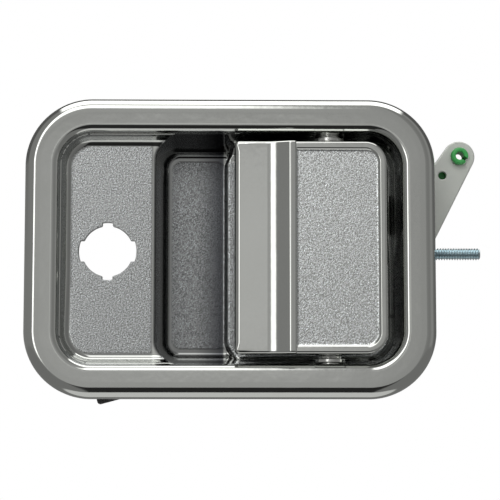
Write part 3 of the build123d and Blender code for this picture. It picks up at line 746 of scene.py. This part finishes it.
def front_of_paddle(x):
    """Depth of the paddle's face across its width: flat grip, hollow, ramp, crest, flat panel."""
    ramp_slope = (RIDGE_Y - PADDLE_FACE_Y) / (CREST_START - RAMP_START)
    foot = np.clip((x - RAMP_START + HOLLOW_RUN) / (2 * HOLLOW_RUN), 0, 1)
    risen = foot**2 * HOLLOW_RUN + np.maximum(x - RAMP_START - HOLLOW_RUN, 0)
    ramp = PADDLE_FACE_Y + ramp_slope * risen
    top = np.clip((x - CREST_START + CREST_RUN) / (2 * CREST_RUN), 0, 1)
    eased = top**2 * CREST_RUN + np.maximum(x - CREST_START - CREST_RUN, 0)
    return ramp - ramp_slope * eased


def paddle_shape(x, y, z):
    """The paddle: grip bar, ridge and sunk panel, hollow back, lugs on the pin and the tail."""
    left, right, half = paddle_low[0], paddle_high[0], PADDLE_HALF
    z = z - PADDLE_Z
    plan = two_corner_rect(x, z, left, right, half, 2.0, 8.3)
    at_left = rise(np.abs(z), half, -4) * rise(x, left + 8, -4)
    edge = 0.9 + 1.3 * at_left
    face = front_of_paddle(np.minimum(x, CREST_END + 1)) + 0.045 * np.maximum(x - CREST_START, 0)
    grip = meet(plan, (face - y) * 0.97, edge)
    grip = meet(grip, x - CREST_END, 0.5)
    panel = meet(plan, PADDLE_FACE_Y - y, 0.9)
    panel = meet(panel, CREST_END - 2 - x)
    body = np.minimum(grip, panel)
    body = meet(body, y - PADDLE_BACK_Y, 0.4)

    # Sunk panel with sloping sides
    panel_left, panel_right = RECESS_START, right - RECESS_RIM
    sunk = two_corner_rect(x, z, panel_left - 6, panel_right, half - RECESS_RIM, 0.6, 5.6)
    sunk = (sunk + 0.8 * (y - PADDLE_FACE_Y)) * 0.78
    sunk = np.maximum(sunk, panel_left - x)
    sunk = meet(sunk, y - PADDLE_FACE_Y - RECESS_DEPTH, 0.35)
    body = cut(body, sunk, 0.3)

    # Hollow back
    inner = two_corner_rect(
        x, z, left + PADDLE_SKIRT, right - PADDLE_SKIRT, half - PADDLE_SKIRT, 1.0, 6.0
    )
    body = cut(body, meet(inner, PADDLE_FACE_Y + PADDLE_PLATE - y, 1.0), 0.4)

    # Lugs and tail, with the pin's bore through them
    plate_back = PADDLE_FACE_Y + PADDLE_PLATE
    neck = np.maximum(np.abs(x - PIVOT[0]) - LUG_R, between(y, plate_back - 0.8, PIVOT[1]))
    lug = join(circle(x, y, PIVOT, LUG_R), neck)
    ends = meet(lug, between(np.abs(z), half - 5, half), 0.3)
    tail_left = np.interp(y, (6, 14.5), (PIVOT[0] + 1.5, 43.6))
    tail_right = np.interp(y, (1, 18.5), (PIVOT[0] + LUG_R, 47.6))
    blade = np.maximum(between(x, tail_left, tail_right), between(y, 1, 18.5))
    tail = join(lug, blade, 1.0)
    tail = meet(tail, between(z + PADDLE_Z, *TAIL_Z), 0.5)
    body = join(join(body, ends, 0.8), tail, 0.8)
    return cut(body, circle(x, y, PIVOT, PIN_R + 0.05), 0.2)


def paddle_grain(x, y, z):
    """Where the paddle is grained: the floor of its sunk panel."""
    z = z - PADDLE_Z
    right, half = paddle_high[0] - RECESS_RIM, PADDLE_HALF - RECESS_RIM
    sunk = two_corner_rect(x, z, CREST_END - 2, right - 0.5, half - 0.5, 0.5, 5.0)
    on_floor = meet(sunk, np.abs(y - PADDLE_FACE_Y - RECESS_DEPTH) - 0.25)
    return grain_on(on_floor)


def no_painted_shade(x, y, z):
    """The paddle gets no painted shade."""
    return 0 * x


paddle_masks = {"grain": paddle_grain, "painted_shade": no_painted_shade}
sculpt("paddle", paddle_shape, (0.4, 0.4, 0.4), chrome_plate, paddle_masks)

# ------------------------------------------------------------------ pivot


def pivot_bush(node, side):
    """A flanged bush. side is 1 for the upper one and -1 for the lower one."""
    steps = [
        (BUSH_START, PIN_R),
        (BUSH_START, BUSH_R),
        (BUSH_SEAT - BUSH_FLANGE, BUSH_R),
        (BUSH_SEAT - BUSH_FLANGE, BUSH_FLANGE_R),
        (BUSH_SEAT, BUSH_FLANGE_R),
        (BUSH_SEAT, BUSH_R),
        (BUSH_END, BUSH_R),
        (BUSH_END, PIN_R),
    ]
    outline = [(PADDLE_Z + side * height, radius) for height, radius in steps]
    lathe(node, outline, PIVOT, 2, bright_steel, closed=True, edge=0.25)


pivot_bush("upper_pivot_bush", 1)
pivot_bush("lower_pivot_bush", -1)

pin_low, pin_high = node_box("pivot_pin")
GROOVE_TOP = node_box("pivot_pin_clip")[1][2]
PIN_HEAD_Z = PADDLE_Z + BUSH_END
pin_outline = [
    (pin_low[2], 0),
    (pin_low[2], PIN_R - 0.4),
    (pin_low[2] + 0.4, PIN_R),
    (GROOVE_TOP - 0.8, PIN_R),
    (GROOVE_TOP - 0.8, PIN_R - 0.6),
    (GROOVE_TOP, PIN_R - 0.6),
    (GROOVE_TOP, PIN_R),
    (PIN_HEAD_Z, PIN_R),
    (PIN_HEAD_Z, PIN_R + 1.82),
    (pin_high[2], PIN_R + 1.82),
    (pin_high[2], 0),
]
lathe("pivot_pin", pin_outline, PIVOT, 2, bright_steel)


def e_clip(node, centre, groove_r, axis):
    """A retaining clip: a ring open on one side, with three lugs inside its bore."""

    def shape(x, y, z):
        u, v, w = (x, z, y) if axis == 1 else (x, y, z)
        ring = np.abs(np.hypot(u - centre[0], v - centre[1]) - (groove_r + 1.75)) - 0.85
        for angle in np.radians((90, 210, 330)):
            reach = groove_r + 0.8
            place_u = centre[0] + reach * math.cos(angle)
            place_v = centre[1] + reach * math.sin(angle)
            ring = join(ring, circle(u, v, (place_u, place_v), 0.85), 0.3)
        beyond = np.abs(v - centre[1] + groove_r + 2) - 1.7
        mouth = np.maximum(np.abs(u - centre[0]) - groove_r, beyond)
        low, high = node_box(node)
        return meet(cut(ring, mouth, 0.25), between(w, low[axis], high[axis]), 0.2)

    sculpt(node, shape, (0.2, 0.2, 0.2), clip_steel)


e_clip("pivot_pin_clip", PIVOT, PIN_R - 0.6, 2)
e_clip("lever_pivot_clip", LEVER_PIVOT, LEVER_PIVOT_R - 0.7, 1)
e_clip("lock_lever_clip", LOCK_PIVOT, LOCK_PIVOT_R - 0.7, 1)


def helix(centre, axis, radius, pitch, turns, first_leg, last_leg):
    """A torsion spring's path: a leg, the coil and a second leg. axis is 1 for Y and 2 for Z."""
    turn = np.linspace(0, 2 * math.pi * turns, int(turns * 40))
    coil = np.empty((len(turn), 3))
    rise = pitch * turn / (2 * math.pi)
    if axis == 2:
        coil[:] = np.stack([radius * np.cos(turn), radius * np.sin(turn), rise], axis=1)
    else:
        coil[:] = np.stack([radius * np.sin(turn), rise, radius * np.cos(turn)], axis=1)
    coil += np.array(centre)
    legs = []
    for end, direction in ((coil[0], first_leg), (coil[-1], last_leg)):
        reach = np.linspace(1, 0.12, 8)[:, None]
        legs.append(end + reach * np.array(direction))
    return np.concatenate([legs[0], coil, legs[1][::-1]])


return_start = (PIVOT[0], PIVOT[1], -24.0)
return_path = helix(return_start, 2, 4.2, 1.9, 6.5, (0, 9, 0), (0, -9, 0))
wire("return_spring", return_path, 0.75, spring_steel)
lever_start = (LEVER_PIVOT[0], 14.6, LEVER_PIVOT[1])
lever_path = helix(lever_start, 1, 7.6, 1.6, 3.5, (0, 0, 9.8), (0, 0, -4.8))
wire("lever_spring", lever_path, 0.7, spring_steel)

# ------------------------------------------------------------------ release lever and rod clip


def release_lever_shape(x, y, z):
    """A flat plate with two arms from its hub, and the holes through it."""
    long_arm = arm(x, z, LEVER_PIVOT, LEVER_HUB_R, ROD_CLIP, LEVER_END_R)
    short_arm = arm(x, z, LEVER_PIVOT, LEVER_HUB_R, FOLLOWER, 6.0)
    plan = join(long_arm, short_arm, 5.0)
    body = meet(plan, between(y, LEVER_Y, LEVER_BACK_Y), 0.45)
    for centre, radius in (
        (LEVER_PIVOT, LEVER_PIVOT_R + 0.05),
        (ROD_CLIP, 2.9),
        (SMALL_HOLE, 1.63),
        (FOLLOWER, 1.5),
    ):
        body = cut(body, circle(x, z, centre, radius), 0.25)
    return body


sculpt("release_lever", release_lever_shape, (0.4, 0.3, 0.4), dull_zinc)


def rod_clip_shape(x, y, z):
    """The split bush in the lever's end, with its arm along the lever's back."""
    front, back = LEVER_Y - CLIP_NOSE, LEVER_BACK_Y + 2.0
    flange = meet(circle(x, z, ROD_CLIP, 3.55), between(y, front, LEVER_Y), 1.1)
    barrel = meet(circle(x, z, ROD_CLIP, 2.88), between(y, LEVER_Y - 1, LEVER_BACK_Y + 0.5))
    to_hole = math.atan2(SMALL_HOLE[1] - ROD_CLIP[1], SMALL_HOLE[0] - ROD_CLIP[0])
    along, off = turned(x, z, ROD_CLIP, to_hole)
    strap = rounded_rect(along, off, (7.5, 0), (7.5, 3.5), 1.2)
    arm_plan = join(strap, circle(x, z, ROD_CLIP, 4.1), 1.0)
    arm_body = meet(arm_plan, between(y, LEVER_BACK_Y, back), 0.4)
    body = join(join(flange, barrel), arm_body)
    body = cut(body, circle(x, z, ROD_CLIP, ROD_R), 0.7)
    body = cut(body, meet(circle(x, z, SMALL_HOLE, 1.63), y - LEVER_BACK_Y - 1.4), 0.1)
    slit_along, slit_off = turned(x, z, ROD_CLIP, math.radians(-30))
    slit = np.maximum(np.abs(slit_off) - 0.7, between(slit_along, 0, 5))
    return cut(body, meet(slit, y - LEVER_BACK_Y), 0.15)


sculpt("rod_clip", rod_clip_shape, (0.2, 0.2, 0.2), green_nylon)

SLEEVE_FRONT_Y = LEVER_Y - 6.1
follower_outline = [
    (SLEEVE_FRONT_Y - 0.8, 0),
    (SLEEVE_FRONT_Y - 0.8, 2.4),
    (SLEEVE_FRONT_Y, 2.4),
    (SLEEVE_FRONT_Y, 1.5),
    (LEVER_BACK_Y, 1.5),
    (LEVER_BACK_Y, 0),
]
lathe("follower_pin", follower_outline, FOLLOWER, 1, zinc_plate, around=40)
sleeve_outline = [(SLEEVE_FRONT_Y, 1.5), (SLEEVE_FRONT_Y, 3.0), (LEVER_Y, 3.0), (LEVER_Y, 1.5)]
lathe("follower_sleeve", sleeve_outline, FOLLOWER, 1, natural_nylon, closed=True, around=48)


def shoulder_stud(node, centre, radius, groove_node):
    """A stud with a groove for its clip."""
    low, high = node_box(node)
    groove_low, groove_high = node_box(groove_node)
    outline = [
        (low[1], 0),
        (low[1], radius),
        (groove_low[1], radius),
        (groove_low[1], radius - 0.7),
        (groove_high[1], radius - 0.7),
        (groove_high[1], radius),
        (high[1] - 0.4, radius),
        (high[1], radius - 0.4),
        (high[1], 0),
    ]
    lathe(node, outline, centre, 1, zinc_plate, edge=0.15)


def washer(node, centre, bore_r):
    """A flat washer that fills its CAD node's box."""
    low, high = node_box(node)
    outer_r = (high[0] - low[0]) / 2
    outline = [(low[1], bore_r), (low[1], outer_r), (high[1], outer_r), (high[1], bore_r)]
    lathe(node, outline, centre, 1, zinc_plate, closed=True, edge=0.2)


shoulder_stud("lever_pivot", LEVER_PIVOT, LEVER_PIVOT_R, "lever_pivot_clip")
shoulder_stud("lock_lever_pivot", LOCK_PIVOT, LOCK_PIVOT_R, "lock_lever_clip")
washer("lever_washer", LEVER_PIVOT, LEVER_PIVOT_R + 0.05)
washer("lock_lever_washer", LOCK_PIVOT, LOCK_PIVOT_R + 0.05)

# ------------------------------------------------------------------ retaining stud


def threaded_stud():
    """The stud with a helical thread and a chamfered tip."""
    around = 48
    rings_per_turn = 14
    start, end = stud_low[0], stud_high[0]
    step = THREAD_PITCH / rings_per_turn
    along = np.concatenate([[start], np.arange(start, end - 0.02, step), [end, end]])
    turn = np.linspace(0, 2 * math.pi, around, endpoint=False)
    place_on, angle = np.meshgrid(along, turn, indexing="ij")
    phase = (place_on / THREAD_PITCH - angle / (2 * math.pi)) % 1
    flank = np.abs(2 * phase - 1)
    profile = rise(flank, THREAD_FLAT, 1 - 2 * THREAD_FLAT)
    radius = STUD_R - THREAD_DEPTH * profile
    tip = STUD_R - np.clip(place_on - (end - 0.7), 0, 0.7)
    radius = np.minimum(radius, tip)
    radius[0] = 0
    radius[-1] = 0
    points = np.stack(
        [place_on, STUD[0] + radius * np.cos(angle), STUD[1] + radius * np.sin(angle)], axis=-1
    )
    place(grid_mesh("retaining_stud", points, False), "retaining_stud", zinc_plate)


threaded_stud()


def nut_shape(x, y, z):
    """A hexagon nut with domed faces."""
    low, high = node_box("stud_jam_nut")
    flats = 4.75
    u, v = y - STUD[0], z - STUD[1]
    hexagon = np.maximum(np.abs(v), np.abs(v) * 0.5 + np.abs(u) * math.sqrt(3) / 2) - flats
    middle = (low[0] + high[0]) / 2
    half = (high[0] - low[0]) / 2
    body = meet(hexagon, np.abs(x - middle) - half, 0.15)
    dome = (np.hypot(u, v) - 5.0) * 0.5 + (np.abs(x - middle) - half) * 0.87
    return cut(meet(body, dome, 0.2), circle(y, z, STUD, STUD_R), 0.3)


def lock_washer_shape(x, y, z):
    """A split ring with a slanting gap."""
    low, high = node_box("stud_lock_washer")
    ring = np.abs(circle(y, z, STUD, 3.35)) - 0.85
    ring = meet(ring, between(x, low[0], high[0]), 0.15)
    gap = np.maximum(np.abs(z - STUD[1] - 0.4 * (x - low[0])) - 0.3, STUD[0] - y)
    return cut(ring, gap, 0.05)


sculpt("stud_jam_nut", nut_shape, (0.25, 0.25, 0.25), zinc_plate)
sculpt("stud_lock_washer", lock_washer_shape, (0.2, 0.2, 0.2), zinc_plate)

# ------------------------------------------------------------------ lock lever, bumper and gasket


def lock_lever_shape(x, y, z):
    """A flat lever with a fork above its pivot and a rod hole near its lower end."""
    u, v = turned(x, z, LOCK_PIVOT, LOCK_TILT)
    long_arm = rounded_rect(u, v, (0, -LOCK_ARM / 2), (7, LOCK_ARM / 2), 1.2)
    fork = rounded_rect(u, v, (0, 8), (5, 8), 1.2)
    plan = join(join(long_arm, circle(u, v, (0, 0), 7)), fork, 1.5)
    plan = cut(plan, rounded_rect(u, v, (0, 17), (2, 8), 1.9), 0.4)
    plan = cut(plan, circle(u, v, (0, 0), LOCK_PIVOT_R + 0.05))
    plan = cut(plan, circle(u, v, (0, 6 - LOCK_ARM), 1.6))
    return meet(plan, between(y, LOCK_LEVER_Y, LOCK_LEVER_Y + LOCK_LEVER_THICK), 0.4)


sculpt("lock_lever", lock_lever_shape, (0.35, 0.3, 0.35), black_coating)


def bumper_shape(x, y, z):
    """A rubber block, notched where it clips on the edge of the tail's slot."""
    low, high = node_box("stop_bumper")
    middle, half = (low + high) / 2, (high - low) / 2
    block = rounded_rect(x, y, middle[:2], half[:2], 0.8)
    floor = np.maximum(TAIL_SLOT_X[1] - x, between(y, RAISED_FLOOR_Y, RAISED_FLOOR_Y + WALL))
    return meet(cut(block, floor, 0.2), between(z, low[2], high[2]), 0.5)


sculpt("stop_bumper", bumper_shape, (0.3, 0.3, 0.3), rubber)


def gasket_ring():
    """A flat rubber ring with rounded edges, swept round the bezel's back."""
    low, high = node_box("gasket")
    outer_x, outer_z = high[0], high[2]
    corner = BEZEL_CORNER - 1
    width = 6.0
    profile = [(0, low[1]), (width, low[1]), (width, high[1]), (0, high[1])]
    profile = round_corners(profile, 0.35, True)
    turn = np.linspace(0, math.pi / 2, 17)
    centres = [(1, 1, 0), (-1, 1, 1), (-1, -1, 2), (1, -1, 3)]
    rings = []
    for inset, y in profile:
        ring = []
        for sign_x, sign_z, quarter in centres:
            angle = turn + quarter * math.pi / 2
            radius = corner - inset
            x = sign_x * (outer_x - corner) + radius * np.cos(angle)
            z = sign_z * (outer_z - corner) + radius * np.sin(angle)
            ring.append(np.stack([x, np.full_like(x, y), z], axis=1))
        rings.append(np.concatenate(ring))
    place(grid_mesh("gasket", np.array(rings), True), "gasket", rubber)


gasket_ring()

# ------------------------------------------------------------------ studio


def studio_world():
    """A soft studio: a tall light at the left, one above in front, one overhead, a dark front."""
    world = bpy.data.worlds.new("studio")
    bpy.context.scene.world = world
    world.use_nodes = True
    nodes, links = world.node_tree.nodes, world.node_tree.links
    nodes.clear()
    add = node_adder(nodes, links)

    def maths(operation, first, second=0.0):
        return add("ShaderNodeMath", {0: first, 1: second}, operation=operation).outputs[0]

    def edge(value, start, end):
        """0 below start and 1 above end; the other way round if end is below start."""
        inputs = {"Value": value, "From Min": start, "From Max": end}
        step = add("ShaderNodeMapRange", inputs, interpolation_type="SMOOTHSTEP")
        return step.outputs["Result"]

    def window(value, low, high, soft):
        """1 between low and high, with soft edges."""
        rising = edge(value, low - soft / 2, low + soft / 2)
        falling = edge(value, high + soft / 2, high - soft / 2)
        return maths("MULTIPLY", rising, falling)

    def both(first, second):
        """Where two masks overlap."""
        return maths("MULTIPLY", first, second)

    def blend(below, level, mask):
        """The light so far where mask is 0, and level where it is 1."""
        inputs = {"Factor": mask, "A": below, "B": level}
        return add("ShaderNodeMix", inputs).outputs["Result"]

    # Directions: height above the horizon and side from straight ahead, both in degrees
    direction = add("ShaderNodeTexCoord").outputs["Generated"]
    axes = add("ShaderNodeSeparateXYZ", {0: direction})
    x, y, z = (axes.outputs[name] for name in "XYZ")
    degrees = 180 / math.pi
    height = maths("MULTIPLY", maths("ARCSINE", z), degrees)
    forward = maths("MULTIPLY", y, -1.0)
    side = maths("MULTIPLY", maths("ARCTAN2", x, forward), degrees)

    # Room: grey in front, darker to the sides
    light = blend(0.30, 0.25, edge(side, 15, 45))
    light = blend(light, 0.32, edge(side, 55, 75))
    light = blend(light, 0.17, edge(side, 85, 110))
    light = blend(light, 0.44, window(side, -14, 9, 10))
    light = blend(light, 0.27, edge(side, -28, -38))
    light = blend(light, 0.26, edge(side, -60, -100))
    light = blend(light, 0.38, both(edge(side, 2, 8), edge(side, 25, 15)))
    light = blend(light, 0.39, both(window(side, -12, 9, 6), window(height, 10.5, 12, 1)))
    light = blend(light, 0.61, both(window(side, -4, 4, 5), window(height, 2.8, 10, 0.6)))
    behind = edge(forward, 0.05, -0.2)
    light = blend(light, 0.12, both(behind, edge(height, 5, 15)))

    # Below: a dark body in front, dim beside it, and a pale table underneath
    light = blend(light, 0.22, edge(height, -7, -12))
    across = maths("DIVIDE", x, maths("MAXIMUM", forward, 0.05))
    body = both(window(across, -0.18, 0.26, 0.12), edge(height, -6, -11))
    light = blend(light, 0.025, both(body, edge(forward, 0.0, 0.1)))
    light = blend(light, 0.72, edge(height, -58, -64))

    # Lights
    light = blend(light, 2.6, both(window(side, -28, -16, 9), window(height, -4, 52, 6)))
    light = blend(light, 2.2, both(window(side, -33, 2, 6), window(height, 21, 52, 8)))
    up = maths("MAXIMUM", z, 0.02)
    across_panel = window(maths("DIVIDE", x, up), -0.55, 0.6, 0.1)
    along_panel = window(maths("DIVIDE", y, up), -0.5, 0.5, 0.08)
    over = both(across_panel, along_panel)
    light = blend(light, 2.2, both(over, edge(z, 0.3, 0.35)))
    return add, light


def finish_world():
    """Lights the part with the studio, and shows a plain white backdrop to the camera."""
    add, light = studio_world()
    studio = add("ShaderNodeBackground", {"Strength": light})
    studio.inputs["Color"].default_value = (1.0, 1.0, 0.985, 1)
    backdrop = add("ShaderNodeBackground", {"Strength": 1.0})
    backdrop.inputs["Color"].default_value = (1, 1, 1, 1)
    to_camera = add("ShaderNodeLightPath").outputs["Is Camera Ray"]
    mix = add("ShaderNodeMixShader", {0: to_camera, 1: studio.outputs[0], 2: backdrop.outputs[0]})
    add("ShaderNodeOutputWorld", {"Surface": mix.outputs[0]})


finish_world()


def soft_light(name, position, target, size, power):
    """A square area light that shines on the target and doesn't show in reflections."""
    light = bpy.data.lights.new(name, "AREA")
    light.shape = "SQUARE"
    light.size = size
    light.energy = power
    lamp = bpy.data.objects.new(name, light)
    lamp.location = position
    lamp.rotation_euler = (Vector(target) - Vector(position)).to_track_quat("-Z", "Y").to_euler()
    lamp.visible_glossy = False
    bpy.context.scene.collection.objects.link(lamp)


middle_of_part = (Vector(cad_low) + Vector(cad_high)) / 2
soft_light("key_light", (-0.7, -1.0, 0.9), middle_of_part, 0.8, 9.0)
soft_light("fill_light", (0.9, -0.8, 0.3), middle_of_part, 0.8, 4.0)


def pale_floor():
    """A plain pale floor below the part."""
    half, height = 3.0, -0.17
    corners = [(-half, -half), (half, -half), (half, half), (-half, half)]
    mesh = bpy.data.meshes.new("floor")
    mesh.from_pydata([(x, y, height) for x, y in corners], [], [(0, 1, 2, 3)])
    piece = bpy.data.objects.new("floor", mesh)
    bpy.context.scene.collection.objects.link(piece)
    piece.visible_glossy = False
    material, shader, add, drive = new_material("pale_floor")
    shader.inputs["Base Color"].default_value = (0.9, 0.9, 0.9, 1)
    shader.inputs["Roughness"].default_value = 0.9
    mesh.materials.append(material)


pale_floor()


def camera():
    """A long lens a little below the handle's middle and a touch to its left."""
    azimuth, elevation = math.radians(-1.0), math.radians(-6.5)
    distance = 0.720
    target = Vector((7.65 * MM, CROWN_Y * MM, -1.27 * MM))
    offset = Vector(
        (
            math.sin(azimuth) * math.cos(elevation),
            -math.cos(azimuth) * math.cos(elevation),
            math.sin(elevation),
        )
    )
    lens = bpy.data.cameras.new("camera")
    lens.lens = 132.6
    lens.sensor_width = 36.0
    lens.clip_start = 0.01
    eye = bpy.data.objects.new("camera", lens)
    eye.location = target + distance * offset
    eye.rotation_euler = (-offset).to_track_quat("-Z", "Y").to_euler()
    bpy.context.scene.collection.objects.link(eye)
    bpy.context.scene.camera = eye


camera()
bpy.context.scene.view_settings.view_transform = "Standard"
